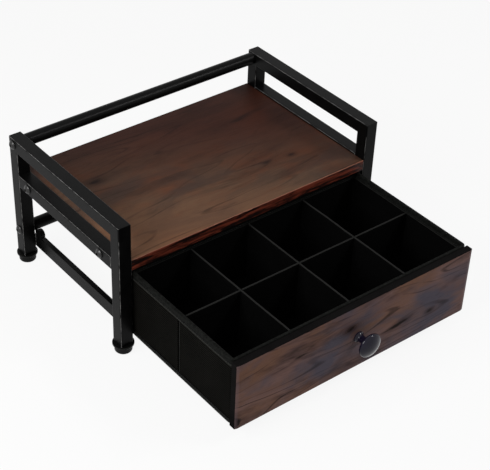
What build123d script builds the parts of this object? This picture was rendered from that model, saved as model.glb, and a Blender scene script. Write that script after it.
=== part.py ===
from build123d import *
from math import sqrt
import os

# Tea bag drawer box: a square tube frame with a wooden top board, and under the board a fabric
# drawer with a wooden front, shown pulled out. Lengths are in millimetres.
# X runs to the right, Y to the rear and Z up. The origin is on the table, midway between the
# knob of the open drawer and the rear feet.

# Frame
frame_width = 400.0  # over the outer faces of the legs
frame_depth = 244.0  # front to rear, over the legs
frame_height = 191.0  # table to the top of the side frames
tube_size = 18.0  # square tube of the side frames
tube_wall = 1.2
tube_corner = 1.6  # outer corner radius of the square tube
mid_rail_top = 140.4  # top of the rail that carries the board
rear_rail_size = 16.4  # diameter of the two round rear rails
rear_rail_wall = 1.2
lower_rail_height = 51.0  # axis of the lower rear rail above the table

# Feet
foot_height = 12.8  # table to the lower end of the legs
foot_collar_size = 27.4  # diameter of the flange under the leg
foot_collar_thickness = 3.0
foot_body_size = 22.4  # diameter below the flange
foot_edge = 2.6  # rounding at the table
foot_plug_length = 15.0  # part pushed up into the leg

# Top board
board_thickness = 14.6
board_recess = 2.2  # board surface below the top of the mid rails
board_setback = 0.6  # front edge behind the front of the legs
board_edge_ease = 0.8  # rounding of the upper edges
edging_thickness = 1.0  # strip along the front edge

# Drawer runners, one bent strip of sheet on each side
runner_sheet = 1.2
runner_bend = 2.0  # outer radius of the bend
runner_height = 19.5
runner_ledge = 18.0  # width that the drawer slides on
runner_bottom = 21.3  # underside above the table
runner_front_gap = 0.8  # behind the front panel of the closed drawer
runner_rear_inset = 2.0  # in front of the rear of the legs
ear_margin = 1.0  # ear of the runner beyond the rubber stop that it carries, at its front
bumper_size = 14.0  # diameter of the rubber stop
bumper_length = 6.0
bumper_rise = 23.2  # axis above the underside of the runner
bumper_gap = 0.3  # rubber stop to the front of the rear leg
bumper_edge = 1.6  # rounding of the rubber stop

# Screws and inserts
screw_size = 6.0  # shank of the frame screws
screw_head = 12.4
screw_head_height = 4.0
screw_socket = 4.0  # hexagon across flats
screw_socket_depth = 2.2
board_screw_length = 32.0
board_screw_front = 42.0  # front screw behind the front of the legs
board_screw_rear = 39.0  # rear screw in front of the rear of the legs
board_insert_size = 9.0
board_insert_length = 12.0
rail_screw_length = 30.0
rail_insert_length = 15.0
tip_chamfer = 0.4  # at the end of every shank

# Drawer
drawer_held = 12.0  # length of the drawer that stays in the frame when it is open
panel_thickness = 10.0
panel_side_gap = 0.8  # to the legs, drawer closed
panel_top_gap = 6.2  # to the board, drawer closed
panel_drop = 0.2  # below the drawer body
panel_bevel_width = 5.0  # bevel at the two ends of the front face
panel_bevel_depth = 1.6
panel_edge_ease = 0.8  # along its upper and lower edge
wall_thickness = 2.6  # board covered with fabric
wall_corner = 2.4  # rounding of the upright corners
rim_gap = 4.6  # rim to the board
body_side_gap = 1.6  # side wall to runner upright
divider_thickness = 2.4
divider_drop = 9.5  # rim down to the dividers
base_thickness = 3.0
binding_thickness = 0.7
rim_binding_height = 10.8
base_binding_height = 7.0

# Knob
knob_projection = 26.5
knob_head_size = 32.0
knob_edge = 5.2  # thickness of the head at its edge
knob_dome = 4.4
knob_neck_size = 9.6
knob_base_size = 14.4
knob_base_edge = 1.2  # straight part of the base
knob_screw_size = 4.0
knob_screw_reach = 12.0  # length inside the knob
knob_screw_head = 7.4
knob_screw_head_height = 2.0
knob_washer_size = 8.6
knob_washer_thickness = 0.8

# Screws that hold the panel to the front wall
panel_screw_size = 3.2
panel_screw_head = 7.0
panel_screw_head_height = 2.0
panel_screw_grip = 7.0  # length inside the panel
panel_screw_low = 24.0  # above the underside of the drawer body
panel_screw_high = 70.0

# Clearances
plug_clearance = 0.15  # foot plug and rail insert in their tube, each side
thread_clearance = 0.15  # screw in an insert, or insert in the board, on the radius
hole_clearance = 0.25  # screw or stem in a plain hole, on the radius
pocket_clearance = 0.4  # washer and screw head in the panel's pocket
board_clearance = 0.2  # board to rail, each side
slide_clearance = 0.3  # drawer on its runners, and against its stops
insert_clearance = 0.3  # base board and dividers inside the walls
slot_clearance = 0.2  # divider in the slot of another, each side
end_play = 1.0  # blind hole beyond the tip of its screw
cut_margin = 1.0  # cuts start and end this far outside the material

# Depth of the drawer, from the front of the frame to the rear rail
bumper_depth = frame_depth - tube_size - bumper_gap - bumper_size / 2  # axis of the rubber stops
closed_depth = bumper_depth - bumper_size / 2 - slide_clearance  # back wall of the closed drawer
drawer_travel = closed_depth - drawer_held  # from closed to the photographed pose
lining_depth = binding_thickness + 2 * wall_thickness + divider_thickness
row_depth = (closed_depth - panel_thickness - lining_depth) / 2  # inside one compartment

# Places that follow from the sizes
rear_reach = frame_depth - tube_size / 2 + foot_collar_size / 2
front_y = (drawer_travel + knob_projection - rear_reach) / 2  # front face of the legs
rear_y = front_y + frame_depth
leg_x = (frame_width - tube_size) / 2  # axis of a leg
inner_x = frame_width / 2 - tube_size  # inner face of a leg
leg_front_y = front_y + tube_size / 2
leg_rear_y = rear_y - tube_size / 2
tube_bore = tube_size - 2 * tube_wall
bore_corner = max(tube_corner - tube_wall, 0.3)
top_rail_z = frame_height - tube_size / 2
mid_rail_z = mid_rail_top - tube_size / 2
board_top = mid_rail_top - board_recess
board_bottom = board_top - board_thickness
board_x = inner_x - board_clearance  # half the board's width
edging_y = front_y + board_setback
board_front = edging_y + edging_thickness
board_screw_ys = (front_y + board_screw_front, rear_y - board_screw_rear)
rail_screw_zs = (top_rail_z, lower_rail_height)

panel_y = front_y - drawer_travel  # front face of the panel, drawer open
panel_back = panel_y + panel_thickness
panel_x = inner_x - panel_side_gap  # half the panel's width
body_bottom = runner_bottom + runner_sheet + slide_clearance
panel_bottom = body_bottom - panel_drop
panel_top = board_bottom - panel_top_gap
knob_z = (panel_bottom + panel_top) / 2
knob_pocket_size = knob_washer_size + 2 * pocket_clearance
knob_pocket_depth = knob_washer_thickness + knob_screw_head_height + pocket_clearance
runner_x = inner_x - runner_sheet  # inner face of the runner's upright
wall_x = runner_x - body_side_gap  # outer face of a side wall
inside_x = wall_x - wall_thickness
wall_front = panel_back + binding_thickness
inside_front = wall_front + wall_thickness
inside_rear = inside_front + 2 * row_depth + divider_thickness
wall_rear = inside_rear + wall_thickness
rim_top = board_bottom - rim_gap
wall_top = rim_top - binding_thickness
divider_top = rim_top - divider_drop
base_top = body_bottom + base_thickness
divider_y = inside_front + row_depth + divider_thickness / 2
cell_width = (2 * inside_x - 3 * divider_thickness) / 4
divider_pitch = cell_width + divider_thickness
panel_screw_x = 1.5 * divider_pitch  # middle of the outer compartments
runner_front = front_y + panel_thickness + runner_front_gap
runner_rear = rear_y - runner_rear_inset
bumper_y = front_y + bumper_depth
bumper_z = runner_bottom + bumper_rise

sides = {"left": -1, "right": 1}


def box(x, y, z):
    """Box between two limits on each axis."""
    size = [limits[1] - limits[0] for limits in (x, y, z)]
    middle = [(limits[0] + limits[1]) / 2 for limits in (x, y, z)]
    return Pos(*middle) * Box(*size)


def square_tube(start, direction, length):
    """Hollow square tube along Y or Z."""
    section = RectangleRounded(tube_size, tube_size, tube_corner)
    section -= RectangleRounded(tube_bore, tube_bore, bore_corner)
    return extrude(Plane(start, x_dir=(1, 0, 0), z_dir=direction) * section, amount=length)


def bar(start, direction, radius, length):
    """Round bar, also used to cut holes."""
    return extrude(Plane(start, z_dir=direction) * Circle(radius), amount=length)


def crown(radius, low, high):
    """Profile of a shallow dome, from its edge to the axis, where it is level."""
    rise = high - low
    curvature = (radius**2 + rise**2) / (2 * rise)
    middle = high - curvature + sqrt(curvature**2 - (radius / 2) ** 2)
    return ThreePointArc((radius, low), (radius / 2, middle), (0, high))


def mitre(y):
    """Plane of the corner joint between leg and top rail; its upper side is the rail's."""
    towards_middle = 1 if y == front_y else -1
    return Plane((0, y, frame_height), x_dir=(1, 0, 0), z_dir=(0, towards_middle, 1))


def frame_screw_hole(side, y, z):
    """Clearance hole for a frame screw, right through one tube from its outer face."""
    start = (side * (frame_width / 2 + cut_margin), y, z)
    radius = screw_size / 2 + hole_clearance
    return bar(start, (-side, 0, 0), radius, tube_size + 2 * cut_margin)


def leg(side, y):
    """Leg with its top cut to a mitre; a rear leg has the holes of the rear rails."""
    end_y = front_y if y == leg_front_y else rear_y
    tube = square_tube((side * leg_x, y, foot_height), (0, 0, 1), frame_height - foot_height)
    tube = split(tube, bisect_by=mitre(end_y), keep=Keep.BOTTOM)
    if y == leg_rear_y:
        for z in rail_screw_zs:
            tube -= frame_screw_hole(side, y, z)
    return tube


def top_rail(side):
    """Upper rail of a side frame, mitred at both ends."""
    rail = square_tube((side * leg_x, front_y, top_rail_z), (0, 1, 0), frame_depth)
    for end_y in (front_y, rear_y):
        rail = split(rail, bisect_by=mitre(end_y), keep=Keep.TOP)
    return rail - frame_screw_hole(side, leg_rear_y, top_rail_z)


def mid_rail(side):
    """Rail between the legs that carries one side of the board."""
    start = (side * leg_x, front_y + tube_size, mid_rail_z)
    rail = square_tube(start, (0, 1, 0), frame_depth - 2 * tube_size)
    for y in board_screw_ys:
        rail -= frame_screw_hole(side, y, mid_rail_z)
    return rail


def rear_rail(z):
    """Round tube between the rear legs."""
    section = Circle(rear_rail_size / 2) - Circle(rear_rail_size / 2 - rear_rail_wall)
    return extrude(Plane((-inner_x, leg_rear_y, z), z_dir=(1, 0, 0)) * section, amount=2 * inner_x)


def foot(side, y):
    """Rubber foot: rounded pad, flange under the leg, and a plug inside the tube."""
    body = extrude(Circle(foot_body_size / 2), amount=foot_height)
    body = fillet(body.edges().group_by(Axis.Z)[0], foot_edge)
    collar = extrude(Circle(foot_collar_size / 2), amount=foot_collar_thickness)
    collar = fillet(collar.edges().group_by(Axis.Z)[0], foot_collar_thickness * 0.4)
    body += Pos(0, 0, foot_height - foot_collar_thickness) * collar
    width = tube_bore - 2 * plug_clearance
    plug = extrude(RectangleRounded(width, width, bore_corner), amount=foot_plug_length)
    body += Pos(0, 0, foot_height) * plug
    return Pos(side * leg_x, y, 0) * body


def runner(side):
    """Angle strip on the inner faces of the legs, with an ear for the rubber stop."""
    ledge_x = runner_x - runner_ledge
    ledge_top = runner_bottom + runner_sheet
    top = runner_bottom + runner_height
    angle = Polyline(
        (inner_x, runner_bottom),
        (inner_x, top),
        (runner_x, top),
        (runner_x, ledge_top),
        (ledge_x, ledge_top),
        (ledge_x, runner_bottom),
        close=True,
    )
    profile = make_face(angle)
    corners = profile.vertices().sort_by_distance((inner_x, runner_bottom))
    profile = fillet(corners[0], runner_bend)
    bend_inside = profile.vertices().sort_by_distance((runner_x, ledge_top))[0]
    profile = fillet(bend_inside, max(runner_bend - runner_sheet, 0.2))
    start = Plane((0, runner_front, 0), x_dir=(1, 0, 0), z_dir=(0, -1, 0))
    strip = extrude(start * profile, amount=runner_front - runner_rear)
    ear_radius = bumper_size / 2 + ear_margin
    ear_y = (bumper_y - ear_radius, bumper_y + bumper_size / 2)
    strip += box((runner_x, inner_x), ear_y, (top - runner_sheet, bumper_z))
    ear = bar((runner_x, bumper_y, bumper_z), (1, 0, 0), ear_radius, runner_sheet)
    strip += ear & box((runner_x, inner_x), ear_y, (bumper_z, bumper_z + ear_radius))
    return strip if side > 0 else mirror(strip, about=Plane.YZ)


def bumper(side):
    """Rubber stop for the drawer's rear corner, glued to the ear of the runner."""
    button = bar((side * runner_x, bumper_y, bumper_z), (-side, 0, 0), bumper_size / 2, bumper_length)
    inner_end = button.edges().group_by(Axis.X)[0 if side > 0 else -1]
    return fillet(inner_end, bumper_edge)


def top_board():
    """Board between the mid rails, with blind holes in its ends for the inserts."""
    z_limits = (board_bottom, board_top)
    board = box((-board_x, board_x), (board_front, rear_y), z_limits)
    board = fillet(board.edges().filter_by(Axis.X).group_by(Axis.Z)[-1][-1], board_edge_ease)
    screw_tip_x = frame_width / 2 - board_screw_length
    hole_depth = board_x - screw_tip_x + end_play
    for side in sides.values():
        for y in board_screw_ys:
            start = (side * (board_x + cut_margin), y, mid_rail_z)
            board -= bar(start, (-side, 0, 0), board_insert_size / 2, hole_depth + cut_margin)
    return board


def board_edging():
    """Strip glued to the front edge of the board."""
    z_limits = (board_bottom, board_top)
    strip = box((-board_x, board_x), (edging_y, board_front), z_limits)
    front_edges = strip.edges().filter_by(Axis.X).group_by(Axis.Y)[0]
    return fillet(front_edges, edging_thickness * 0.6)


def button_screw(length):
    """Button head screw with a hexagon socket; its head stands on the plane Z = 0."""
    radius = screw_head / 2
    rim = screw_head_height * 0.22
    profile = Polyline(
        (0, screw_head_height),
        (0, -length),
        (screw_size / 2 - tip_chamfer, -length),
        (screw_size / 2, -length + tip_chamfer),
        (screw_size / 2, 0),
        (radius, 0),
        (radius, rim),
    )
    profile += crown(radius, rim, screw_head_height)
    screw = revolve(Plane.XZ * make_face(profile), Axis.Z)
    socket = RegularPolygon(screw_socket / 2, 6, major_radius=False)
    floor = Plane((0, 0, screw_head_height - screw_socket_depth))
    return screw - extrude(floor * socket, amount=screw_socket_depth + cut_margin)


def sleeve(outer_radius, bore_radius, length):
    """Threaded insert, drawn as a plain sleeve that starts at Z = 0 and runs down."""
    return extrude(Circle(outer_radius) - Circle(bore_radius), amount=-length)


def placed_on_side(part, side, x, y, z):
    """Turn a piece drawn along Z so that its +Z side faces out of the frame."""
    return Plane((side * x, y, z), x_dir=(0, side, 0), z_dir=(side, 0, 0)) * part


def board_screws():
    """Four screws through the mid rails into the ends of the board."""
    screw = button_screw(board_screw_length)
    return [
        placed_on_side(screw, side, frame_width / 2, y, mid_rail_z)
        for side in sides.values()
        for y in board_screw_ys
    ]


def board_inserts():
    """Four inserts in the ends of the board."""
    radius = board_insert_size / 2 - thread_clearance
    insert = sleeve(radius, screw_size / 2 + thread_clearance, board_insert_length)
    return [
        placed_on_side(insert, side, board_x, y, mid_rail_z)
        for side in sides.values()
        for y in board_screw_ys
    ]


def rail_screws():
    """Four screws through the rear legs into the ends of the rear rails."""
    screw = button_screw(rail_screw_length)
    return [
        placed_on_side(screw, side, frame_width / 2, leg_rear_y, z)
        for side in sides.values()
        for z in rail_screw_zs
    ]


def rail_inserts():
    """Four inserts in the ends of the rear rails."""
    radius = rear_rail_size / 2 - rear_rail_wall - plug_clearance
    insert = sleeve(radius, screw_size / 2 + thread_clearance, rail_insert_length)
    return [
        placed_on_side(insert, side, inner_x, leg_rear_y, z)
        for side in sides.values()
        for z in rail_screw_zs
    ]


def panel_screw_places():
    """X and Z of the four screws between front wall and panel."""
    heights = (body_bottom + panel_screw_low, body_bottom + panel_screw_high)
    return [(side * panel_screw_x, z) for side in sides.values() for z in heights]


def front_panel():
    """Wooden front with bevelled ends, a pocket for the knob's screw and four pilot holes."""
    bevel_x = panel_x - panel_bevel_width
    bevel_y = panel_y + panel_bevel_depth
    plan = Polyline(
        (-panel_x, panel_back),
        (-panel_x, bevel_y),
        (-bevel_x, panel_y),
        (bevel_x, panel_y),
        (panel_x, bevel_y),
        (panel_x, panel_back),
        close=True,
    )
    panel = extrude(Pos(0, 0, panel_bottom) * make_face(plan), amount=panel_top - panel_bottom)
    long_edges = panel.edges().filter_by(Axis.X).group_by(Axis.Y)[0]
    panel = fillet(long_edges, panel_edge_ease)
    hole_radius = knob_screw_size / 2 + hole_clearance
    hole_start = (0, panel_y - cut_margin, knob_z)
    panel -= bar(hole_start, (0, 1, 0), hole_radius, panel_thickness + 2 * cut_margin)
    pocket = bar((0, panel_back, knob_z), (0, -1, 0), knob_pocket_size / 2, knob_pocket_depth)
    panel -= pocket
    pilot_radius = panel_screw_size / 2 + thread_clearance
    for x, z in panel_screw_places():
        panel -= bar((x, panel_back, z), (0, -1, 0), pilot_radius, panel_screw_grip + end_play)
    return panel


def knob():
    """Mushroom knob, turned about its axis, with a blind hole for its screw."""
    base = knob_base_size / 2
    neck = knob_neck_size / 2
    head = knob_head_size / 2
    edge_top = knob_projection - knob_dome
    edge_bottom = edge_top - knob_edge
    neck_z = edge_bottom * 0.48
    profile = Polyline((0, knob_projection), (0, 0), (base, 0), (base, knob_base_edge))
    profile += ThreePointArc(
        (base, knob_base_edge), (base - (base - neck) * 0.72, neck_z * 0.42), (neck, neck_z)
    )
    profile += ThreePointArc(
        (neck, neck_z), (neck + (head - neck) * 0.16, edge_bottom * 0.82), (head * 0.82, edge_bottom)
    )
    profile += ThreePointArc(
        (head * 0.82, edge_bottom), (head, (edge_bottom + edge_top) / 2), (head * 0.9, edge_top)
    )
    profile += crown(head * 0.9, edge_top, knob_projection)
    turned = revolve(Plane.XZ * make_face(profile), Axis.Z)
    hole = Circle(knob_screw_size / 2 + thread_clearance)
    turned -= extrude(hole, amount=knob_screw_reach + end_play)
    return Plane((0, panel_y, knob_z), x_dir=(1, 0, 0), z_dir=(0, -1, 0)) * turned


def pan_screw(head_radius, head_height, shank_radius, length):
    """Pan head screw; its head stands on the plane Z = 0."""
    head = extrude(Circle(head_radius), amount=head_height)
    head = fillet(head.edges().group_by(Axis.Z)[-1], head_height * 0.45)
    shank = extrude(Circle(shank_radius), amount=-length)
    shank = chamfer(shank.edges().group_by(Axis.Z)[0], tip_chamfer)
    slot_length = head_radius * 1.1
    slot_width = head_radius * 0.26
    cross = Box(slot_length, slot_width, head_height) + Box(slot_width, slot_length, head_height)
    return head + shank - Pos(0, 0, head_height) * cross


def facing_rear(part, x, y, z):
    """Turn a piece drawn along Z so that its +Z side faces the rear."""
    return Plane((x, y, z), x_dir=(1, 0, 0), z_dir=(0, 1, 0)) * part


def knob_washer():
    """Washer at the bottom of the panel's pocket."""
    washer = Circle(knob_washer_size / 2) - Circle(knob_screw_size / 2 + hole_clearance)
    ring = extrude(washer, amount=knob_washer_thickness)
    return facing_rear(ring, 0, panel_back - knob_pocket_depth, knob_z)


def knob_screw():
    """Screw from the panel's pocket into the knob."""
    seat = panel_back - knob_pocket_depth + knob_washer_thickness
    length = seat - panel_y + knob_screw_reach
    screw = pan_screw(knob_screw_head / 2, knob_screw_head_height, knob_screw_size / 2, length)
    return facing_rear(screw, 0, seat, knob_z)


def panel_screws():
    """Four screws from inside the drawer, through its front wall into the panel."""
    length = inside_front - panel_back + panel_screw_grip
    screw = pan_screw(panel_screw_head / 2, panel_screw_head_height, panel_screw_size / 2, length)
    return [facing_rear(screw, x, inside_front, z) for x, z in panel_screw_places()]


def side_wall(side):
    """Side of the drawer, with rounded outer corners."""
    x_limits = sorted((side * inside_x, side * wall_x))
    wall = box(x_limits, (wall_front, wall_rear), (body_bottom, wall_top))
    corners = wall.edges().filter_by(Axis.Z).sort_by(Axis.X)
    outer = corners[:2] if side < 0 else corners[-2:]
    return fillet(outer, min(wall_corner, wall_thickness - 0.1))


def end_wall(front, rear):
    """Front or back of the drawer, between its sides."""
    return box((-inside_x, inside_x), (front, rear), (body_bottom, wall_top))


def front_wall():
    """Front of the drawer body, with holes for the panel's screws."""
    wall = end_wall(wall_front, inside_front)
    for x, z in panel_screw_places():
        radius = panel_screw_size / 2 + hole_clearance
        start = (x, wall_front - cut_margin, z)
        wall -= bar(start, (0, 1, 0), radius, wall_thickness + 2 * cut_margin)
    return wall


def outline(offset):
    """Plan of the drawer walls' outer face, grown by `offset`; corners are square inside the wall."""
    width = 2 * (wall_x + offset)
    depth = wall_rear - wall_front + 2 * offset
    corner = min(wall_corner, wall_thickness - 0.1) + offset
    return RectangleRounded(width, depth, corner) if corner > 0.2 else Rectangle(width, depth)


def ring(outside, inside, bottom, top):
    """Band round the drawer between two offsets from the walls' outer face."""
    middle = Pos(0, (wall_front + wall_rear) / 2, bottom)
    return middle * extrude(outline(outside) - outline(inside), amount=top - bottom)


def rim_binding():
    """Folded band over the rim: a long outer fold, a short inner fold and the top."""
    inner_fold = divider_drop - insert_clearance
    outer = ring(binding_thickness, 0, rim_top - rim_binding_height, rim_top)
    inner = ring(-wall_thickness, -wall_thickness - binding_thickness, rim_top - inner_fold, rim_top)
    top = ring(0, -wall_thickness, wall_top, rim_top)
    return outer + inner + top


def base_binding():
    """Piping round the lower edge of the drawer."""
    return ring(binding_thickness, 0, body_bottom, body_bottom + base_binding_height)


def base_board():
    """Bottom of the drawer, laid between its walls."""
    half_width = inside_x - insert_clearance
    y_limits = (inside_front + insert_clearance, inside_rear - insert_clearance)
    return box((-half_width, half_width), y_limits, (body_bottom, base_top))


slot_half = divider_thickness / 2 + slot_clearance
divider_bottom = base_top + slot_clearance
slot_z = (divider_bottom + divider_top) / 2
cross_xs = {"left": -divider_pitch, "center": 0.0, "right": divider_pitch}


def long_divider():
    """Divider from side to side, slotted from above for the cross dividers."""
    half_width = inside_x - insert_clearance
    y_limits = (divider_y - divider_thickness / 2, divider_y + divider_thickness / 2)
    plate = box((-half_width, half_width), y_limits, (divider_bottom, divider_top))
    slot_y = (y_limits[0] - cut_margin, y_limits[1] + cut_margin)
    slot_heights = (slot_z - slot_clearance, divider_top + cut_margin)
    for x in cross_xs.values():
        plate -= box((x - slot_half, x + slot_half), slot_y, slot_heights)
    return plate


def cross_divider(x):
    """Divider from front to rear, slotted from below for the long divider."""
    x_limits = (x - divider_thickness / 2, x + divider_thickness / 2)
    y_limits = (inside_front + insert_clearance, inside_rear - insert_clearance)
    plate = box(x_limits, y_limits, (divider_bottom, divider_top))
    slot_x = (x_limits[0] - cut_margin, x_limits[1] + cut_margin)
    slot_y = (divider_y - slot_half, divider_y + slot_half)
    return plate - box(slot_x, slot_y, (divider_bottom - cut_margin, slot_z + slot_clearance))


nodes = {
    "top_board": top_board(),
    "board_front_edging": board_edging(),
    "board_screws": board_screws(),
    "board_inserts": board_inserts(),
    "rear_guard_rail": rear_rail(top_rail_z),
    "rear_lower_rail": rear_rail(lower_rail_height),
    "rear_rail_screws": rail_screws(),
    "rear_rail_inserts": rail_inserts(),
    "drawer_front_panel": front_panel(),
    "drawer_knob": knob(),
    "knob_screw": knob_screw(),
    "knob_washer": knob_washer(),
    "panel_screws": panel_screws(),
    "drawer_front_wall": front_wall(),
    "drawer_back_wall": end_wall(inside_rear, wall_rear),
    "drawer_base_board": base_board(),
    "drawer_rim_binding": rim_binding(),
    "drawer_base_binding": base_binding(),
    "divider_long": long_divider(),
}
for name, side in sides.items():
    nodes[f"leg_front_{name}"] = leg(side, leg_front_y)
    nodes[f"leg_rear_{name}"] = leg(side, leg_rear_y)
    nodes[f"top_rail_{name}"] = top_rail(side)
    nodes[f"mid_rail_{name}"] = mid_rail(side)
    nodes[f"foot_front_{name}"] = foot(side, leg_front_y)
    nodes[f"foot_rear_{name}"] = foot(side, leg_rear_y)
    nodes[f"drawer_runner_{name}"] = runner(side)
    nodes[f"stop_bumper_{name}"] = bumper(side)
    nodes[f"drawer_side_{name}"] = side_wall(side)
for name, x in cross_xs.items():
    nodes[f"divider_cross_{name}"] = cross_divider(x)

os.makedirs("parts", exist_ok=True)
for name, shape in nodes.items():
    if isinstance(shape, list):
        shape = Compound(children=[solid for piece in shape for solid in piece.solids()])
    export_step(shape, f"parts/{name}.step")
    print(f"{name}: {shape.volume:.1f} mm3")
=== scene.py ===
import math

import bmesh
import bpy
from mathutils import Matrix, Vector, noise


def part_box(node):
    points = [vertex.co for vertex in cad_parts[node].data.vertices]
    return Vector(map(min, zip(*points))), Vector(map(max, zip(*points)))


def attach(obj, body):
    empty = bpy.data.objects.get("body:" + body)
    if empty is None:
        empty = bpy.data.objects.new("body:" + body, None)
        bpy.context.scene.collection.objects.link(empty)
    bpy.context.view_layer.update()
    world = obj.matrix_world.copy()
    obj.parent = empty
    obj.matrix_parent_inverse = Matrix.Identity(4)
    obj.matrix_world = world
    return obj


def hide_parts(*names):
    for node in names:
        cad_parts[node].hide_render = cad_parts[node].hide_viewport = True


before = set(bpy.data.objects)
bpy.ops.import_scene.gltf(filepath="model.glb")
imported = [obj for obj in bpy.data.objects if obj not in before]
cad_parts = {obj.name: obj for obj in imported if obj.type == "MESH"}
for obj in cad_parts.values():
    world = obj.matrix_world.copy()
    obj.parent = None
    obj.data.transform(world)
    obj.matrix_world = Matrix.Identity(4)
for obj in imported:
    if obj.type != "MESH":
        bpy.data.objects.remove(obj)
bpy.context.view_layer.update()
print("frame loaded")

mm = 0.001


# small tools

def srgb(red, green, blue):  # 0-255 as seen on screen, to the linear colour that nodes use
    levels = [c / 255 for c in (red, green, blue)]
    linear = [c / 12.92 if c < 0.04045 else ((c + 0.055) / 1.055) ** 2.4 for c in levels]
    return (*linear, 1.0)


class Wire:  # a socket that takes part in plain arithmetic
    def __init__(self, tree, socket):
        self.tree, self.socket = tree, socket

    def __add__(self, other):
        return self.tree.math("ADD", self, other)

    def __radd__(self, other):
        return self.tree.math("ADD", other, self)

    def __sub__(self, other):
        return self.tree.math("SUBTRACT", self, other)

    def __mul__(self, other):
        return self.tree.math("MULTIPLY", self, other)

    def __rmul__(self, other):
        return self.tree.math("MULTIPLY", other, self)

    def __pow__(self, other):
        return self.tree.math("POWER", self, other)

    def __gt__(self, other):
        return self.tree.math("GREATER_THAN", self, other)

    def __lt__(self, other):
        return self.tree.math("LESS_THAN", self, other)

    def __abs__(self):
        return self.tree.math("ABSOLUTE", self)


class Tree:  # a node tree under construction
    def __init__(self, tree):
        self.tree = tree
        self.tree.nodes.clear()

    def add(self, kind, settings=None, sockets=None, output=0):
        node = self.tree.nodes.new(kind)
        for name, value in (settings or {}).items():
            if name == "stops":
                self.setStops(node.color_ramp, value)
            else:
                setattr(node, name, value)
        for key, value in (sockets or {}).items():
            if isinstance(value, Wire):
                self.tree.links.new(value.socket, node.inputs[key])
            else:
                node.inputs[key].default_value = value
        return Wire(self, node.outputs[output]) if node.outputs else node

    def setStops(self, ramp, stops):
        while len(ramp.elements) < len(stops):
            ramp.elements.new(0.5)
        for element, (position, level) in zip(ramp.elements, stops):
            element.position = position
            element.color = (level, level, level, 1.0) if isinstance(level, float) else level

    def math(self, operation, *values):
        return self.add("ShaderNodeMath", {"operation": operation}, dict(enumerate(values)))

    def clamp(self, value):
        return self.add("ShaderNodeClamp", sockets={"Value": value})

    def ramp(self, value, *stops):
        return self.add("ShaderNodeValToRGB", {"stops": stops}, {"Fac": value})

    def mix(self, factor, first, second):
        return self.add("ShaderNodeMix", {"data_type": "RGBA"}, {0: factor, 6: first, 7: second}, output=2)

    def stretch(self, vector, scale, offset=(0, 0, 0)):
        scaled = self.add("ShaderNodeVectorMath", {"operation": "MULTIPLY"}, {0: vector, 1: scale})
        return self.add("ShaderNodeVectorMath", {"operation": "ADD"}, {0: scaled, 1: offset})

    def noise(self, vector, scale=1.0, detail=3.0, roughness=0.5, distortion=0.0):
        sockets = {"Vector": vector, "Scale": scale, "Detail": detail,
                   "Roughness": roughness, "Distortion": distortion}
        return self.add("ShaderNodeTexNoise", sockets=sockets)

    def parts(self, vector):
        split = self.add("ShaderNodeSeparateXYZ", sockets={0: vector})
        return [Wire(self, s) for s in split.socket.node.outputs]

    def bump(self, height, distance, strength=1.0):
        sockets = {"Height": height, "Distance": distance, "Strength": strength}
        return self.add("ShaderNodeBump", sockets=sockets)


def newMaterial(name):
    material = bpy.data.materials.new(name)
    material.use_nodes = True
    return material, Tree(material.node_tree)


def finishMaterial(material, tree, colour, roughness, normal=None, **fixed):
    sockets = {"Base Color": colour, "Roughness": roughness}
    if normal:
        sockets["Normal"] = normal
    sockets.update({name.replace("_", " "): value for name, value in fixed.items()})
    shader = tree.add("ShaderNodeBsdfPrincipled", sockets=sockets)
    tree.add("ShaderNodeOutputMaterial", sockets={"Surface": shader})
    return material


# finishes

# edge: the colour of a painted highlight along the tubes' edges
powderValues = {"dark": srgb(2, 2, 2), "light": srgb(12, 12, 12), "edge": srgb(112, 111, 110),
                "edgeHighlightWidth": 0.7 * mm, "cornerPart": 9 * mm, "grain": 1500.0, "relief": 0.06 * mm,
                "roughness": 0.24, "specular": 0.05}


def tubePlanes(axis):  # where the flat faces of the square tubes lie
    planes = set()
    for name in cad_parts:
        if name.startswith(("leg_", "top_rail_", "mid_rail_")):
            planes |= {round(corner[axis], 5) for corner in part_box(name)}
    return sorted(planes)


def powderCoat():
    material, tree = newMaterial("powderCoat")
    place = tree.add("ShaderNodeTexCoord", output="Object")
    grain = tree.noise(place, powderValues["grain"], 2.0)
    cloud = tree.noise(place, 45.0, 3.0)
    x, y, z = tree.parts(place)
    near = []
    for axis, value in enumerate((x, y, z)):  # 1 within the edge's width of a tube face
        hits = [abs(value - plane) < powderValues["edgeHighlightWidth"] for plane in tubePlanes(axis)]
        near.append(tree.clamp(sum(hits[1:], hits[0])))
    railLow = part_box("top_rail_left")[0].z
    legRear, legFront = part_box("leg_front_left")[1].y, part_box("leg_rear_left")[0].y
    onLeg = z < railLow
    atTop = z > railLow + powderValues["cornerPart"]
    onRail = tree.clamp((y > legRear) * (y < legFront) + atTop)
    # painted highlight along the tube edges: the legs' upright edges and the rails' long edges, broken up by
    # noise
    edge = tree.clamp(near[0] * near[1] * onLeg + near[0] * near[2] * onRail)
    ragged = tree.ramp(tree.noise(place, 150.0, 3.0), (0.30, 0.0), (0.66, 1.0))
    colour = tree.mix(cloud, powderValues["dark"], powderValues["light"])
    colour = tree.mix(edge * ragged, colour, powderValues["edge"])
    roughness = powderValues["roughness"] + 0.12 * cloud + 0.08 * grain
    normal = tree.bump(grain, powderValues["relief"], 0.5)
    return finishMaterial(material, tree, colour, roughness, normal,
                          Specular_IOR_Level=powderValues["specular"])


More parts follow.
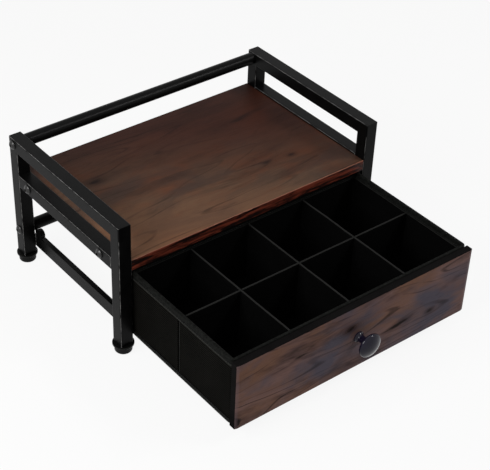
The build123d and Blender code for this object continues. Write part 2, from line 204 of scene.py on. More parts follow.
boardValues = {"dark": srgb(20, 11, 8), "mid": srgb(61, 42, 31), "light": srgb(90, 67, 51),
               "warm": srgb(82, 46, 28), "grey": srgb(50, 40, 35),
               # near: painted light towards the front and the left; far: painted shade towards the rear and
               # the right
               "near": srgb(116, 80, 57), "far": srgb(50, 22, 12), "paintedLightShade": (-1.7, -3.6, 0.050), "sheenDrift": 0.0,
               "seed": 3.1, "patches": 0.75, "lines": 0.42, "dirtAndShade": 0.6, "roughness": 0.50, "specular": 0.10,
               "relief": 0.10 * mm, "knots": ((-0.128, 0.150, 0.007), (0.115, 0.055, 0.005))}
# grey: the wood's greyish patches, tinted purple by a painted sheen
panelValues = {"dark": srgb(18, 11, 10), "mid": srgb(80, 58, 54), "light": srgb(112, 86, 80),
               "warm": srgb(98, 69, 54), "grey": srgb(66, 62, 72),
               "edge": srgb(5, 4, 4), "bevel": srgb(96, 80, 84), "sheenDrift": 0.30,
               "seed": 8.6, "patches": 0.95, "lines": 0.62, "dirtAndShade": 0.8, "roughness": 0.46, "specular": 0.05,
               "relief": 0.10 * mm, "knots": ((-0.014, 0.088, 0.008), (0.118, 0.052, 0.005))}


def rusticWood(name, values, across, masks=None):  # across: 1 for a flat board, 2 for an upright one
    material, tree = newMaterial(name)
    place = tree.add("ShaderNodeTexCoord", output="Object")
    seed = values["seed"]
    along, *others = tree.parts(place)
    side = others[across - 1]
    pull = (tree.noise(tree.stretch(place, (5, 12, 12), (seed, seed, 0)), 1.0, 2.0) - 0.5) * 0.045
    knotMask = rings = 0.0
    for x, s, radius in values["knots"]:  # the grain swerves round each knot
        far = ((along - x) * 0.5) ** 2.0 + (side - s) ** 2.0
        near = tree.math("EXPONENT", far * (-1 / (2.2 * radius) ** 2))
        pull = pull + near * (side - s) * -0.75
        ring = tree.math("SINE", far ** 0.5 * (26.0 / radius)) * 0.5 + 0.5
        knotMask = knotMask + tree.math("EXPONENT", far * (-1 / (0.75 * radius) ** 2))
        rings = rings + ring * near
    lines = tree.add("ShaderNodeCombineXYZ", sockets={0: along, 1: side + pull, 2: seed})
    streak = tree.noise(tree.stretch(lines, (6, 70, 1)), 1.0, 5.0, 0.55)
    fine = tree.noise(tree.stretch(lines, (22, 520, 1)), 1.0, 3.0, 0.6)
    pores = tree.noise(tree.stretch(lines, (55, 1900, 1)), 1.0, 1.0)
    swirl = tree.noise(tree.stretch(lines, (2.2, 17, 1)), 1.0, 1.0)
    contour = tree.math("SINE", swirl * 75.0) * 0.5 + 0.5  # the long arches of sawn grain
    warm = tree.noise(tree.stretch(place, (10, 24, 24), (seed, 2, 5)), 1.0, 4.0, 0.6, 0.5)
    grey = tree.noise(tree.stretch(place, (8, 19, 19), (2, seed, 9)), 1.0, 4.0, 0.6, 0.5)
    smear = tree.noise(tree.stretch(lines, (9, 42, 1), (4, 0, 7)), 1.0, 4.0, 0.65)
    paintedLightShade = 0.0
    if "paintedLightShade" in values:  # painted light towards one end and one side, painted shade towards the others
        paintedSlopeAlong, paintedSlopeSide, centre = values["paintedLightShade"]
        paintedLightShade = along * paintedSlopeAlong + (side - centre) * paintedSlopeSide
    sheenDrift = along * values["sheenDrift"]  # brown at the left, greyer at the right: a painted sheen
    tone = tree.clamp(streak * 1.6 - 0.3 + (fine - 0.5) * 0.7 + paintedLightShade)
    colour = tree.mix(tone, values["mid"], values["light"])
    warmPatch = tree.ramp(warm - sheenDrift, (0.46, 0.0), (0.66, 1.0)) * values["patches"]
    greyPatch = tree.ramp(grey + sheenDrift, (0.47, 0.0), (0.64, 1.0)) * values["patches"]
    colour = tree.mix(warmPatch, colour, values["warm"])
    colour = tree.mix(greyPatch, colour, values["grey"])
    crack = tree.ramp(contour * 0.82 + streak * 0.3, (0.93, 0.0), (1.02, 1.0)) * values["lines"]
    porous = tree.ramp(pores, (0.34, 1.0), (0.46, 0.0))
    # dark smudges in the wood, with painted shade deepening them towards the rear and the right
    smudgeAndShade = tree.ramp(smear - paintedLightShade * 0.16, (0.52, 0.0), (0.72, 1.0)) * values["patches"]
    if "paintedLightShade" in values:
        # painted light (near) and painted shade (far) laid over the wood
        colour = tree.mix(tree.clamp(paintedLightShade * 1.3), colour, values["near"])
        colour = tree.mix(tree.clamp(paintedLightShade * -1.8), colour, values["far"])
    dark = tree.clamp(crack + smudgeAndShade * values["dirtAndShade"] + porous * 0.14 + knotMask * 0.85 + rings * 0.12)
    colour = tree.mix(dark, colour, values["dark"])
    roughness = values["roughness"] + 0.14 * fine + 0.14 * dark
    if masks:  # black edges, and a painted highlight on the bevel
        edges, bevel = masks(tree, place)
        colour = tree.mix(bevel * (0.20 + 0.45 * fine), colour, values["bevel"])
        colour = tree.mix(edges, colour, values["edge"])
        roughness = roughness + edges * 0.3
    height = fine * 0.45 + streak * 0.3 - crack * 0.7 - porous * 0.4 - knotMask * 0.3
    normal = tree.bump(height, values["relief"], 0.6)
    return finishMaterial(material, tree, colour, roughness, normal, Specular_IOR_Level=values["specular"])


panelLow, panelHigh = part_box("drawer_front_panel")
bevelWidth = 5.0 * mm  # at the two ends of the panel's face
endSkin, levelSkin = 0.15 * mm, 0.30 * mm  # how deep the black of its edges reaches


def panelEdges(tree, place):
    x, y, z = tree.parts(place)
    ends = abs(x) > panelHigh.x - endSkin
    top = z > panelHigh.z - levelSkin
    bottom = z < panelLow.z + levelSkin
    # the bevel's painted highlight, strongest at the panel's two ends
    bevel = tree.ramp((abs(x) - panelHigh.x + bevelWidth) * (1 / bevelWidth), (0.0, 0.0), (0.7, 1.0))
    return tree.clamp(ends + top + bottom), bevel


edgeValues = {"dark": srgb(10, 3, 2), "light": srgb(104, 46, 32), "paleTop": srgb(122, 78, 62),
              "paleTopHeight": 1.3 * mm, "relief": 0.08 * mm, "roughness": 0.46, "specular": 0.12}


def edgeStrip():
    material, tree = newMaterial("edgeStrip")
    place = tree.add("ShaderNodeTexCoord", output="Object")
    x, y, z = tree.parts(place)
    low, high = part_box("board_front_edging")
    streak = tree.noise(tree.stretch(place, (26, 60, 240)), 1.0, 5.0, 0.65, 0.4)
    colour = tree.mix(tree.ramp(streak, (0.43, 0.0), (0.58, 1.0)), edgeValues["dark"], edgeValues["light"])
    ragged = tree.noise(tree.stretch(place, (120, 40, 300)), 1.0, 3.0)
    # lighter along the strip's top edge
    height = (z - high.z + edgeValues["paleTopHeight"]) * 700.0 + (ragged - 0.5) * 1.2
    paleTop = tree.ramp(height, (0.35, 0.0), (0.85, 1.0))
    colour = tree.mix(paleTop, colour, edgeValues["paleTop"])
    normal = tree.bump(streak, edgeValues["relief"], 0.5)
    roughness = edgeValues["roughness"] + 0.12 * ragged
    return finishMaterial(material, tree, colour, roughness, normal,
                          Specular_IOR_Level=edgeValues["specular"])


# fold: the colour of a painted highlight on ridges and folded tops
clothValues = {"thread": srgb(0, 0, 0), "light": srgb(31, 30, 27), "rib": 3.0 * mm, "yarn": 1.5 * mm,
               "relief": 0.30 * mm, "fold": srgb(40, 40, 39), "roughness": 0.74, "specular": 0.015}


def ribbedCloth(name, values, upright=True, marks=None):  # ribs run level round the drawer
    material, tree = newMaterial(name)
    place = tree.add("ShaderNodeTexCoord", output="Object")
    x, y, z = tree.parts(place)
    run = x + y  # both wall directions cross the ribs alike
    wander = tree.noise(tree.stretch(place, (90, 90, 90)), 1.0, 2.0) - 0.5
    turn = 2 * math.pi
    level = z if upright else y
    cross = run if upright else x
    rib = tree.math("SINE", (level + wander * 0.5 * mm) * (turn / values["rib"])) * 0.5 + 0.5
    phase = tree.math("FLOOR", level * (1 / values["rib"])) * 0.5
    yarn = tree.math("SINE", (cross * (1 / values["yarn"]) + phase) * turn) * 0.5 + 0.5
    fuzz = tree.noise(place, 2600.0, 2.0)
    weave = tree.clamp(rib ** 4.0 * 0.90 + yarn * 0.10 * rib + fuzz * 0.06 - 0.08)
    cloud = tree.noise(place, 28.0, 3.0)
    colour = tree.mix(tree.clamp(weave + (cloud - 0.5) * 0.5 * rib), values["thread"], values["light"])
    if marks:  # lines that catch the light, and creases that lose it
        paintedHighlight, dark = marks(tree, place)
        colour = tree.mix(paintedHighlight, colour, values["fold"])
        colour = tree.mix(dark, colour, values["thread"])
    normal = tree.bump(weave, values["relief"], 0.8)
    return finishMaterial(material, tree, colour, values["roughness"] + 0.14 * fuzz, normal,
                          Specular_IOR_Level=values["specular"])


# widths of the painted shade in a seam's crease, and of the painted highlights beside it and along a
# divider's top
markValues = {"crease": 1.0 * mm, "ridgeAway": 2.4 * mm, "ridge": 0.6 * mm, "topLine": 1.1 * mm}
dividerLow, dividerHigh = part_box("divider_long")
dividerY = (dividerLow.y + dividerHigh.y) / 2


def seamMarks(tree, place):  # the seam on each side wall: a painted highlight on its ridge, painted shade in its crease
    x, y, z = tree.parts(place)
    paintedHighlight = abs(y - dividerY + markValues["ridgeAway"]) < markValues["ridge"]
    dark = abs(y - dividerY) < markValues["crease"]
    return paintedHighlight, dark


def dividerMarks(tree, place):  # a painted highlight along a divider's top
    x, y, z = tree.parts(place)
    paintedHighlight = (z > dividerHigh.z - markValues["topLine"]) * (z < dividerHigh.z + mm)
    return paintedHighlight, 0.0


# fold: the colour of painted highlights along the binding's fold lines
bindingValues = {"thread": srgb(2, 2, 2), "light": srgb(27, 28, 26), "fold": srgb(54, 54, 51),
                 "rib": 2.2 * mm, "relief": 0.20 * mm, "line": 0.8 * mm,
                 "rimFold": 1.2 * mm, "baseFold": 1.6 * mm, "baseGroove": 0.6 * mm,
                 "roughness": 0.60, "specular": 0.03}


def bindingTape():
    material, tree = newMaterial("bindingTape")
    place = tree.add("ShaderNodeTexCoord", output="Object")
    x, y, z = tree.parts(place)
    turn = 2 * math.pi
    slant = tree.math("SINE", ((x + y) + z * 0.9) * (turn / bindingValues["rib"])) * 0.5 + 0.5
    grain = tree.math("SINE", ((x + y) - z * 1.6) * (turn / (1.6 * bindingValues["rib"]))) * 0.5 + 0.5
    fuzz = tree.noise(place, 2200.0, 2.0)
    mottle = tree.noise(place, 300.0, 3.0)
    weave = tree.clamp(slant * 0.4 + grain * 0.25 + fuzz * 0.2 + (mottle - 0.5) * 1.6)
    colour = tree.mix(weave, bindingValues["thread"], bindingValues["light"])
    line = bindingValues["line"]
    rimLow, rimHigh = (c.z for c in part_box("drawer_rim_binding"))
    baseLow, baseHigh = (c.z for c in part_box("drawer_base_binding"))
    heights = (rimLow + bindingValues["rimFold"], baseLow + bindingValues["baseFold"])
    # painted highlights along the fold lines of the rim and base bindings
    folds = [abs(z - height) < line for height in heights]
    fold = tree.clamp(sum(folds[1:], folds[0])) * (0.35 + 0.65 * mottle)
    # painted shade in a line just under the base binding's top edge
    grooveShade = abs(z - baseHigh + bindingValues["baseGroove"]) < line
    colour = tree.mix(fold, colour, bindingValues["fold"])
    colour = tree.mix(grooveShade, colour, bindingValues["thread"])
    normal = tree.bump(weave, bindingValues["relief"], 0.7)
    return finishMaterial(material, tree, colour, bindingValues["roughness"] + 0.18 * fuzz, normal,
                          Specular_IOR_Level=bindingValues["specular"])


smallValues = {  # dark, light, roughness, grain, relief, specular, metallic
    "sewingThread": (srgb(14, 14, 14), srgb(30, 30, 29), 0.45, 3000.0, 0.05 * mm, 0.2, 0.0),
    "footRubber": (srgb(4, 4, 4), srgb(12, 12, 11), 0.34, 1800.0, 0.05 * mm, 0.10, 0.0),
    "blackScrew": (srgb(16, 16, 16), srgb(30, 29, 28), 0.22, 2400.0, 0.02 * mm, 0.4, 0.0),
    "zincPlate": (srgb(150, 150, 146), srgb(190, 189, 182), 0.30, 1400.0, 0.02 * mm, 0.5, 1.0),
    "glossKnob": (srgb(10, 9, 20), srgb(24, 20, 38), 0.0, 400.0, 0.01 * mm, 0.20, 0.0),
}


def plainFinish(name, dark, light, roughness, grain, relief, specular, metallic):
    material, tree = newMaterial(name)
    place = tree.add("ShaderNodeTexCoord", output="Object")
    speck = tree.noise(place, grain, 3.0)
    cloud = tree.noise(place, 90.0, 3.0)
    colour = tree.mix(cloud, dark, light)
    normal = tree.bump(speck, relief, 0.6)
    return finishMaterial(material, tree, colour, roughness + 0.16 * cloud, normal,
                          Specular_IOR_Level=specular, Metallic=metallic)


steel = powderCoat()
boardWood = rusticWood("boardWood", boardValues, 1)
panelWood = rusticWood("panelWood", panelValues, 2, panelEdges)
strip = edgeStrip()
cloth = ribbedCloth("ribbedCloth", clothValues, marks=seamMarks)
# the lining cloth, darker than the cover partly by its own colour and partly as painted shade inside the
# compartments
liningAndShadeValues = dict(clothValues, thread=srgb(1, 1, 1), light=srgb(17, 17, 17), fold=srgb(34, 34, 33),
                    rib=2.0 * mm, relief=0.14 * mm)
lining = ribbedCloth("liningCloth", liningAndShadeValues, marks=dividerMarks)
baseCloth = ribbedCloth("baseCloth", liningAndShadeValues, upright=False)
tape = bindingTape()
thread, rubber, blackScrew, zinc, gloss = [plainFinish(name, *row) for name, row in smallValues.items()]
print("finishes made")

nodeFinish = {
    steel: ("leg_", "top_rail_", "mid_rail_", "rear_guard_rail", "rear_lower_rail", "drawer_runner_"),
    boardWood: ("top_board",),
    panelWood: ("drawer_front_panel",),
    strip: ("board_front_edging",),
    cloth: ("drawer_side_", "drawer_front_wall", "drawer_back_wall"),
    lining: ("divider_", "drawer_base_board"),
    tape: ("drawer_rim_binding", "drawer_base_binding"),
    rubber: ("foot_", "stop_bumper_"),
    blackScrew: ("board_screws", "rear_rail_screws"),
    zinc: ("board_inserts", "rear_rail_inserts", "knob_screw", "knob_washer", "panel_screws"),
    gloss: ("drawer_knob",),
}
for finish, starts in nodeFinish.items():
    for name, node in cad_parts.items():
        if name.startswith(starts):
            node.data.materials.clear()
            node.data.materials.append(finish)
print("finishes on the CAD pieces")


# mesh tools

def newPiece(name, points, faces, finish, body, smoothAngle=35):
    mesh = bpy.data.meshes.new(name)
    mesh.from_pydata([tuple(p) for p in points], [], faces)
    work = bmesh.new()
    work.from_mesh(mesh)
    bmesh.ops.remove_doubles(work, verts=work.verts, dist=1e-6)
    bmesh.ops.recalc_face_normals(work, faces=work.faces)
    for face in work.faces:
        face.smooth = True
    for edge in work.edges:
        edge.smooth = edge.calc_face_angle(0) < math.radians(smoothAngle)
    work.to_mesh(mesh)
    work.free()
    mesh.materials.append(finish)
    piece = bpy.data.objects.new(name, mesh)
    bpy.context.scene.collection.objects.link(piece)
    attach(piece, body)
    return piece


def skin(rings, closedPath):  # quads between closed rings of points; flat caps on an open path
    count = len(rings[0])
    points = [p for ring in rings for p in ring]
    faces = []
    steps = len(rings) if closedPath else len(rings) - 1
    for i in range(steps):
        first, second = i * count, (i + 1) % len(rings) * count
        for j in range(count):
            k = (j + 1) % count
            faces.append((first + j, first + k, second + k, second + j))
    if not closedPath:
        faces.append(tuple(range(count)))
        faces.append(tuple(range(len(points) - count, len(points))))
    return points, faces


def arc(centre, radius, start, end, steps):  # points in the plane, angles in degrees
    angles = [math.radians(start + (end - start) * i / steps) for i in range(steps + 1)]
    return [(centre[0] + radius * math.cos(a), centre[1] + radius * math.sin(a)) for a in angles]


# drawer cover

wallLow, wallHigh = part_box("drawer_side_left")
wall = wallHigh.x - wallLow.x  # thickness
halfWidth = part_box("drawer_side_right")[1].x
frontY, rearY = wallLow.y, wallHigh.y
crossXs = [sum(c.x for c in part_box(f"divider_cross_{name}")) / 2 for name in ("left", "center", "right")]

coverValues = {"corner": 4.6 * mm, "step": 4.0 * mm, "cornerSteps": 8, "rowStep": 4.0 * mm,
               "inset": 0.3 * mm, "waviness": 0.30 * mm, "crease": 1.0 * mm, "ridge": 0.45 * mm,
               "creaseWidth": 1.1 * mm, "ridgeAway": 2.6, "ridgeWidth": 1.2,  # the last two in crease widths
               "denseWithin": 7 * mm, "denseSteps": 8}


def outlineStations():  # points round the walls' outer face, each with its outward direction
    radius = coverValues["corner"]
    x, low, high = halfWidth - radius, frontY + radius, rearY - radius
    corners = [((x, low), -90), ((x, high), 0), ((-x, high), 90), ((-x, low), 180)]
    stations = []
    for i, (centre, start) in enumerate(corners):
        for px, py in arc(centre, radius, start, start + 90, coverValues["cornerSteps"]):
            out = Vector((px - centre[0], py - centre[1], 0)).normalized()
            stations.append((Vector((px, py, 0)), out))
        nextCentre = corners[(i + 1) % 4][0]
        gap = Vector((nextCentre[0] - centre[0], nextCentre[1] - centre[1], 0))
        steps = round(gap.length / coverValues["step"])
        last, out = stations[-1]
        for j in range(1, steps):
            stations.append((last + gap * (j / steps), out))
    return stations


def seamPlaces():  # where a divider is sewn to the cover
    sides = [Vector((side * halfWidth, dividerY, 0)) for side in (-1, 1)]
    back = [Vector((x, rearY, 0)) for x in crossXs]
    return sides + back


seams = seamPlaces()


def coverRelief(point, out, z):  # how far the cloth stands out of the flat wall
    swell = noise.noise(Vector((point.x * 22, point.y * 22, z * 30))) * coverValues["waviness"]
    for seam in seams:
        if abs((point - seam).dot(out)) > 1 * mm:
            continue
        beside = (point - seam).dot(Vector((-out.y, out.x, 0)))
        width = coverValues["creaseWidth"]
        fromRidge = (abs(beside) - coverValues["ridgeAway"] * width) / (coverValues["ridgeWidth"] * width)
        swell -= coverValues["crease"] * math.exp(-((beside / width) ** 2))
        swell += coverValues["ridge"] * math.exp(-(fromRidge ** 2))
    return swell


def addSeamStations(stations):  # more points where a crease needs them
    dense = []
    steps = coverValues["denseSteps"]
    for i, (point, out) in enumerate(stations):
        dense.append((point, out))
        following = stations[(i + 1) % len(stations)][0]
        middle = (point + following) / 2
        if min((middle - seam).length for seam in seams) < coverValues["denseWithin"]:
            for j in range(1, steps):
                dense.append((point.lerp(following, j / steps), out))
    return dense


def drawerCover():
    stations = addSeamStations(outlineStations())
    bottom, top = wallLow.z, wallHigh.z
    rows = round((top - bottom) / coverValues["rowStep"])
    heights = [bottom + (top - bottom) * i / rows for i in range(rows + 1)]
    rings = []
    for point, out in stations:
        swells = [coverRelief(point, out, z) - coverValues["inset"] for z in heights]
        ring = [point + out * swell + Vector((0, 0, z)) for swell, z in zip(swells, heights)]
        ring += [point - out * wall + Vector((0, 0, z)) for z in reversed(heights)]
        rings.append(ring)
    piece = newPiece("drawer_cover", *skin(rings, True), cloth, "drawer")
    inner = len(piece.data.materials)
    piece.data.materials.append(lining)
    deep = wall * 0.7
    for face in piece.data.polygons:  # the inside is the thinner lining cloth
        middle = face.center
        inX = abs(middle.x) < halfWidth - deep
        inY = frontY + deep < middle.y < rearY - deep
        if inX and inY:
            face.material_index = inner
    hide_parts("drawer_side_left", "drawer_side_right", "drawer_front_wall", "drawer_back_wall")
    return piece, stations


cover, stations = drawerCover()
perimeter = sum((stations[i][0] - stations[i - 1][0]).length for i in range(len(stations)))
print("drawer cover made")


# bindings

rimLow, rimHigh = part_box("drawer_rim_binding")
baseLow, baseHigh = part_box("drawer_base_binding")
bindingThickness = rimHigh.x - halfWidth
baseWaviness = 0.18 * mm
rimValues = {"outerFold": rimHigh.z - rimLow.z, "innerFold": 9.0 * mm, "round": 1.3 * mm, "hem": 0.45 * mm,
             "waviness": 0.28 * mm}


def sweepRound(name, profile, waviness, seed):  # profile: offset, height and slack of a closed section
    rings = []
    for point, out in stations:
        sheenDrift = noise.noise(Vector((point.x * 14 + seed, point.y * 14, 3.3))) * waviness
        lift = noise.noise(Vector((point.x * 18, point.y * 18 + seed, 7.7))) * waviness
        ring = []
        for offset, z, free in profile:
            ring.append(point + out * (offset + sheenDrift * free * 0.6) + Vector((0, 0, z + lift * free)))
        rings.append(ring)
    return newPiece(name, *skin(rings, True), tape, "drawer")


def rimBinding():
    t, top = bindingThickness, rimHigh.z
    r, hem = rimValues["round"], rimValues["hem"]
    low, inLow = top - rimValues["outerFold"], top - rimValues["innerFold"]
    inside = -wall - t
    outer = [(t + hem * 0.4, low + 0.5 * mm, 1), (t + hem, low + 1.1 * mm, 1),
             (t + hem * 0.8, low + 2.1 * mm, 1), (t, low + 3.2 * mm, 0.8),
             (t - 0.1 * mm, low + 5.5 * mm, 0.6)]
    over = [(x, z, 0.3) for x, z in arc((t - r, top - r), r, 0, 90, 5)]
    over += [(x, z, 0.3) for x, z in arc((inside + r, top - r), r, 90, 180, 5)]
    inner = [(inside + 0.1 * mm, inLow + 3.5 * mm, 0.5), (inside - 0.15 * mm, inLow + 1.5 * mm, 0.8),
             (inside - 0.2 * mm, inLow + 0.5 * mm, 1), (inside + 0.3 * mm, inLow, 1)]
    back = [(-wall + 0.05 * mm, inLow + 0.2 * mm, 1), (-wall + 0.05 * mm, top - t, 0),
            (-0.05 * mm, top - t, 0), (-0.05 * mm, low + 0.3 * mm, 1), (t * 0.5, low, 1)]
    piece = sweepRound("rim_binding", outer + over + inner + back, rimValues["waviness"], 0.0)
    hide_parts("drawer_rim_binding")
    return piece


def baseBinding():
    t, low, high = bindingThickness, baseLow.z, baseHigh.z
    section = [(-0.1 * mm, low, 0), (t * 0.6, low, 0), (t, low + 0.5 * mm, 0.3),
               (t + 0.15 * mm, low + 1.6 * mm, 0.5), (t - 0.1 * mm, (low + high) / 2, 0.6),
               (t + 0.1 * mm, high - 1.2 * mm, 0.8), (t * 0.8, high - 0.3 * mm, 1),
               (t * 0.4, high, 1), (-0.1 * mm, high - 0.2 * mm, 1)]
    piece = sweepRound("base_binding", section, baseWaviness, 5.0)
    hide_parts("drawer_base_binding")
    return piece


rim = rimBinding()
base = baseBinding()
print("bindings made")


# dividers and base

dividerValues = {"step": 4.0 * mm, "bow": 0.45 * mm, "rows": 14, "slotPlay": 0.2 * mm, "clear": 0.5 * mm,
                 "stiffEnd": 18 * mm, "cut": 1e-5}


def dividerSlab(name, node, lengthwise, slots, slotFromTop, slotHeight, seed):
    low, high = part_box(node)
    axis = Vector((1, 0, 0)) if lengthwise else Vector((0, 1, 0))
    acrossAxis = Vector((0, 1, 0)) if lengthwise else Vector((1, 0, 0))
    start, end = low.dot(axis), high.dot(axis)
    middle = (low + high).dot(acrossAxis) / 2
    half = (high - low).dot(acrossAxis) / 2
    slotHalf, cut = half + dividerValues["slotPlay"], dividerValues["cut"]
    free = slotHalf + dividerValues["clear"]
    steps = round((end - start) / dividerValues["step"])
    places = [(start + (end - start) * i / steps, False) for i in range(steps + 1)]
    places = [(s, False) for s, _ in places if all(abs(s - slot) > free for slot in slots)]
    for slot in slots:
        places += [(slot - slotHalf, False), (slot - slotHalf + cut, True),
                   (slot + slotHalf - cut, True), (slot + slotHalf, False)]
    rings = []
    for s, inSlot in sorted(places):
        bottom, top = low.z, high.z
        if inSlot and slotFromTop:
            top = slotHeight
        elif inSlot:
            bottom = slotHeight
        away = min(s - start, end - s, *[abs(s - slot) for slot in slots])
        ends = min(1.0, away / dividerValues["stiffEnd"])
        rows = dividerValues["rows"]
        heights = [bottom + (top - half - bottom) * i / rows for i in range(rows + 1)]
        bows = [dividerValues["bow"] * ends * noise.noise(Vector((s * 30, z * 24, seed))) for z in heights]
        right = [(bow + half, z) for bow, z in zip(bows, heights)]
        left = [(bow - half, z) for bow, z in zip(bows, heights)]
        dome = [(bows[-1] + x, z) for x, z in arc((0, top - half), half, 0, 180, 8)[1:-1]]
        section = right + dome + left[::-1]
        rings.append([axis * s + acrossAxis * (middle + a) + Vector((0, 0, z)) for a, z in section])
    piece = newPiece(name, *skin(rings, False), lining, "drawer")
    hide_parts(node)
    return piece


slotMiddle, play = (dividerLow.z + dividerHigh.z) / 2, dividerValues["slotPlay"]
dividerSlab("divider_long_cloth", "divider_long", True, crossXs, True, slotMiddle - play, 2.5)
for side, seed in (("left", 4.1), ("center", 6.3), ("right", 9.2)):
    dividerSlab(f"divider_cross_{side}_cloth", f"divider_cross_{side}", False, [dividerY], False,
                slotMiddle + play, seed)
print("dividers made")

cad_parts["drawer_base_board"].data.materials[0] = baseCloth


# stitches

stitchValues = {"pitch": 3.4 * mm, "length": 2.5 * mm, "thread": 0.26 * mm, "hemUp": 3.0 * mm,
                "innerUp": 2.2 * mm, "baseDown": 1.0 * mm, "hemOut": 0.12 * mm, "baseOut": 0.02 * mm,
                "seamSink": 0.25 * mm, "seamEnd": 1 * mm}


def stitchTree():
    tree = bpy.data.node_groups.new("stitchRow", "GeometryNodeTree")
    face = tree.interface
    face.new_socket("Geometry", in_out="INPUT", socket_type="NodeSocketGeometry")
    for name in ("Pitch", "Stitch Length", "Thread Radius"):
        face.new_socket(name, in_out="INPUT", socket_type="NodeSocketFloat")
    face.new_socket("Finish", in_out="INPUT", socket_type="NodeSocketMaterial")
    face.new_socket("Geometry", in_out="OUTPUT", socket_type="NodeSocketGeometry")
    board = Tree(tree)
    given = board.add("NodeGroupInput").socket.node.outputs
    inputs = {s.name: Wire(board, s) for s in given if s.name}
    row = board.add("GeometryNodeResampleCurve", {"mode": "LENGTH"},
                    {"Curve": inputs["Geometry"], "Length": inputs["Pitch"]})
    bead = board.add("GeometryNodeMeshUVSphere", sockets={"Segments": 6, "Rings": 4, "Radius": 1.0})
    along = board.add("GeometryNodeInputTangent")
    turn = board.add("FunctionNodeAlignRotationToVector", {"axis": "Z"}, {"Vector": along})
    size = board.add("ShaderNodeCombineXYZ", sockets={0: inputs["Thread Radius"], 1: inputs["Thread Radius"],
                                                      2: inputs["Stitch Length"] * 0.5})
    beads = board.add("GeometryNodeInstanceOnPoints", sockets={"Points": row, "Instance": bead,
                                                               "Rotation": turn, "Scale": size})
    solid = board.add("GeometryNodeRealizeInstances", sockets={"Geometry": beads})
    dressed = board.add("GeometryNodeSetMaterial", sockets={"Geometry": solid, "Material": inputs["Finish"]})
    board.add("NodeGroupOutput", sockets={"Geometry": dressed})
    return tree


def stitchRows(name, rows, body):  # rows: lists of points, and whether each row is closed
    curve = bpy.data.curves.new(name, "CURVE")
    curve.dimensions = "3D"
    for points, closed in rows:
        spline = curve.splines.new("POLY")
        spline.points.add(len(points) - 1)
        for slot, point in zip(spline.points, points):
            slot.co = (*point, 1.0)
        spline.use_cyclic_u = closed
    holder = bpy.data.objects.new(name + "_path", curve)
    bpy.context.scene.collection.objects.link(holder)
    modifier = holder.modifiers.new("stitches", "NODES")
    modifier.node_group = stitches
    values = {"Pitch": stitchValues["pitch"], "Stitch Length": stitchValues["length"],
              "Thread Radius": stitchValues["thread"], "Finish": thread}
    for item in stitches.interface.items_tree:
        if item.in_out == "INPUT" and item.name in values:
            modifier[item.identifier] = values[item.name]
    holder.update_tag()
    graph = bpy.context.evaluated_depsgraph_get()
    graph.update()
    mesh = bpy.data.meshes.new_from_object(holder.evaluated_get(graph), depsgraph=graph)
    bpy.data.objects.remove(holder)
    mesh.name = name
    mesh.shade_smooth()
    piece = bpy.data.objects.new(name, mesh)
    bpy.context.scene.collection.objects.link(piece)
    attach(piece, body)
    return piece


def roundRow(offset, z):
    return [point + out * offset + Vector((0, 0, z)) for point, out in stations], True


def seamRows():
    rows = []
    bottom = baseHigh.z + stitchValues["seamEnd"]
    top = rimHigh.z - rimValues["outerFold"] - stitchValues["seamEnd"]
    for seam in seams:
        onSide = abs(abs(seam.x) - halfWidth) < mm
        out = Vector((math.copysign(1, seam.x), 0, 0)) if onSide else Vector((0, 1, 0))
        beside = Vector((-out.y, out.x, 0)) * (coverValues["ridgeAway"] * coverValues["creaseWidth"])
        foot = seam + beside + out * (coverValues["ridge"] - stitchValues["seamSink"])
        rows.append(([foot + Vector((0, 0, bottom)), foot + Vector((0, 0, top))], False))
    return rows


stitches = stitchTree()
hemHeight = rimHigh.z - rimValues["outerFold"] + stitchValues["hemUp"]
innerHeight = rimHigh.z - rimValues["innerFold"] + stitchValues["innerUp"]
hemStitch = roundRow(bindingThickness + stitchValues["hemOut"], hemHeight)
innerStitch = roundRow(-wall - bindingThickness, innerHeight)
baseStitch = roundRow(bindingThickness + stitchValues["baseOut"], baseHigh.z - stitchValues["baseDown"])
stitchRows("drawer_stitches", [hemStitch, innerStitch, baseStitch, *seamRows()], "drawer")
print("stitches made")


# floor, light and camera

stageValues = {"floor": srgb(236, 236, 235), "white": srgb(252, 252, 252), "glow": 0.93, "size": 8.0,
               "ambient": 0.15}


def seenDirectly(tree):  # camera, glossy and transmission rays
    ray = tree.add("ShaderNodeLightPath")
    outputs = ray.socket.node.outputs
    seen = [Wire(tree, outputs[name]) for name in ("Is Camera Ray", "Is Glossy Ray", "Is Transmission Ray")]
    return tree.clamp(seen[0] + seen[1] + seen[2])


def studio():
    size = stageValues["size"] / 2
    mesh = bpy.data.meshes.new("floor")
    corners = [(-size, -size, 0), (size, -size, 0), (size, size, 0), (-size, size, 0)]
    mesh.from_pydata(corners, [], [(0, 1, 2, 3)])
    material, tree = newMaterial("paleFloor")
    matt = tree.add("ShaderNodeBsdfDiffuse", sockets={"Color": stageValues["floor"]})
    glow = tree.add("ShaderNodeEmission", sockets={"Color": stageValues["white"], "Strength": 1.0})
    share = seenDirectly(tree) * stageValues["glow"]
    mixed = tree.add("ShaderNodeMixShader", sockets={0: share, 1: matt, 2: glow})
    tree.add("ShaderNodeOutputMaterial", sockets={"Surface": mixed})
    mesh.materials.append(material)
    floor = bpy.data.objects.new("floor", mesh)
    bpy.context.scene.collection.objects.link(floor)
    world = bpy.data.worlds.new("studio")
    world.use_nodes = True
    sky = Tree(world.node_tree)
    seen = seenDirectly(sky)
    ambient = stageValues["ambient"]
    colour = sky.mix(seen, (ambient, ambient, ambient, 1.0), stageValues["white"])
    background = sky.add("ShaderNodeBackground", sockets={"Color": colour, "Strength": 1.0})
    sky.add("ShaderNodeOutputWorld", sockets={"Surface": background})
    bpy.context.scene.world = world


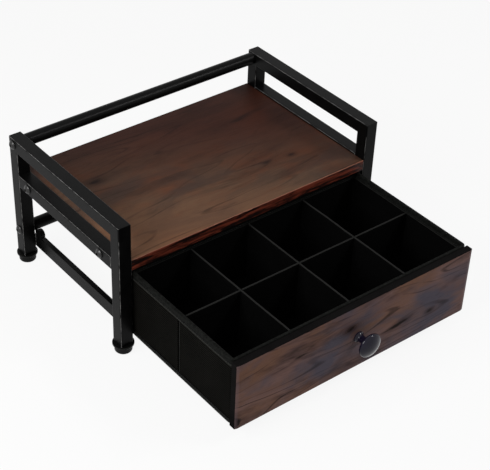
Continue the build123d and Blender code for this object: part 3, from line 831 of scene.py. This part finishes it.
lampValues = {
    "leftKey": {"place": (-1.3, -0.1, 1.05), "size": (1.0, 0.8), "watts": 23.0},
    "topSoft": {"place": (0.1, 0.3, 1.9), "size": (1.6, 1.2), "watts": 4.0},
    "frontStrip": {"place": (0.9, -0.9, 1.3), "size": (0.6, 0.06), "watts": 13.0},
}


def lamps():
    aim = Vector((0, 0, 0.08))  # about the middle of the object
    for name, values in lampValues.items():
        light = bpy.data.lights.new(name, "AREA")
        light.shape = "RECTANGLE"
        light.size, light.size_y = values["size"]
        light.energy = values["watts"]
        lamp = bpy.data.objects.new(name, light)
        lamp.location = values["place"]
        lamp.rotation_euler = (aim - lamp.location).to_track_quat("-Z", "Y").to_euler()
        bpy.context.scene.collection.objects.link(lamp)


cameraValues = {"place": (-0.873551, -1.044477, 1.097297),
                "yaw": 0.65643, "pitch": 0.65327, "roll": 0.02025,  # radians
                "focalPixels": 1347.14, "centreShift": (-41.946, 20.825), "pictureWidth": 490, "sensor": 36.0}


def camera():
    yaw, pitch, roll = (cameraValues[key] for key in ("yaw", "pitch", "roll"))
    ahead = Vector((math.sin(yaw) * math.cos(pitch), math.cos(yaw) * math.cos(pitch), -math.sin(pitch)))
    level = ahead.cross(Vector((0, 0, 1))).normalized()
    upward = level.cross(ahead)
    right = math.cos(roll) * level + math.sin(roll) * upward
    up = math.cos(roll) * upward - math.sin(roll) * level
    lens = bpy.data.cameras.new("camera")
    width = cameraValues["pictureWidth"]
    lens.sensor_width = cameraValues["sensor"]
    lens.lens = cameraValues["focalPixels"] * cameraValues["sensor"] / width
    lens.shift_x = -cameraValues["centreShift"][0] / width
    lens.shift_y = cameraValues["centreShift"][1] / width
    eye = bpy.data.objects.new("camera", lens)
    turn = Matrix((right, up, -ahead)).transposed().to_4x4()
    eye.matrix_world = Matrix.Translation(cameraValues["place"]) @ turn
    bpy.context.scene.collection.objects.link(eye)
    bpy.context.scene.camera = eye


studio()
lamps()
camera()
bpy.context.scene.view_settings.view_transform = "Standard"
print("studio made")
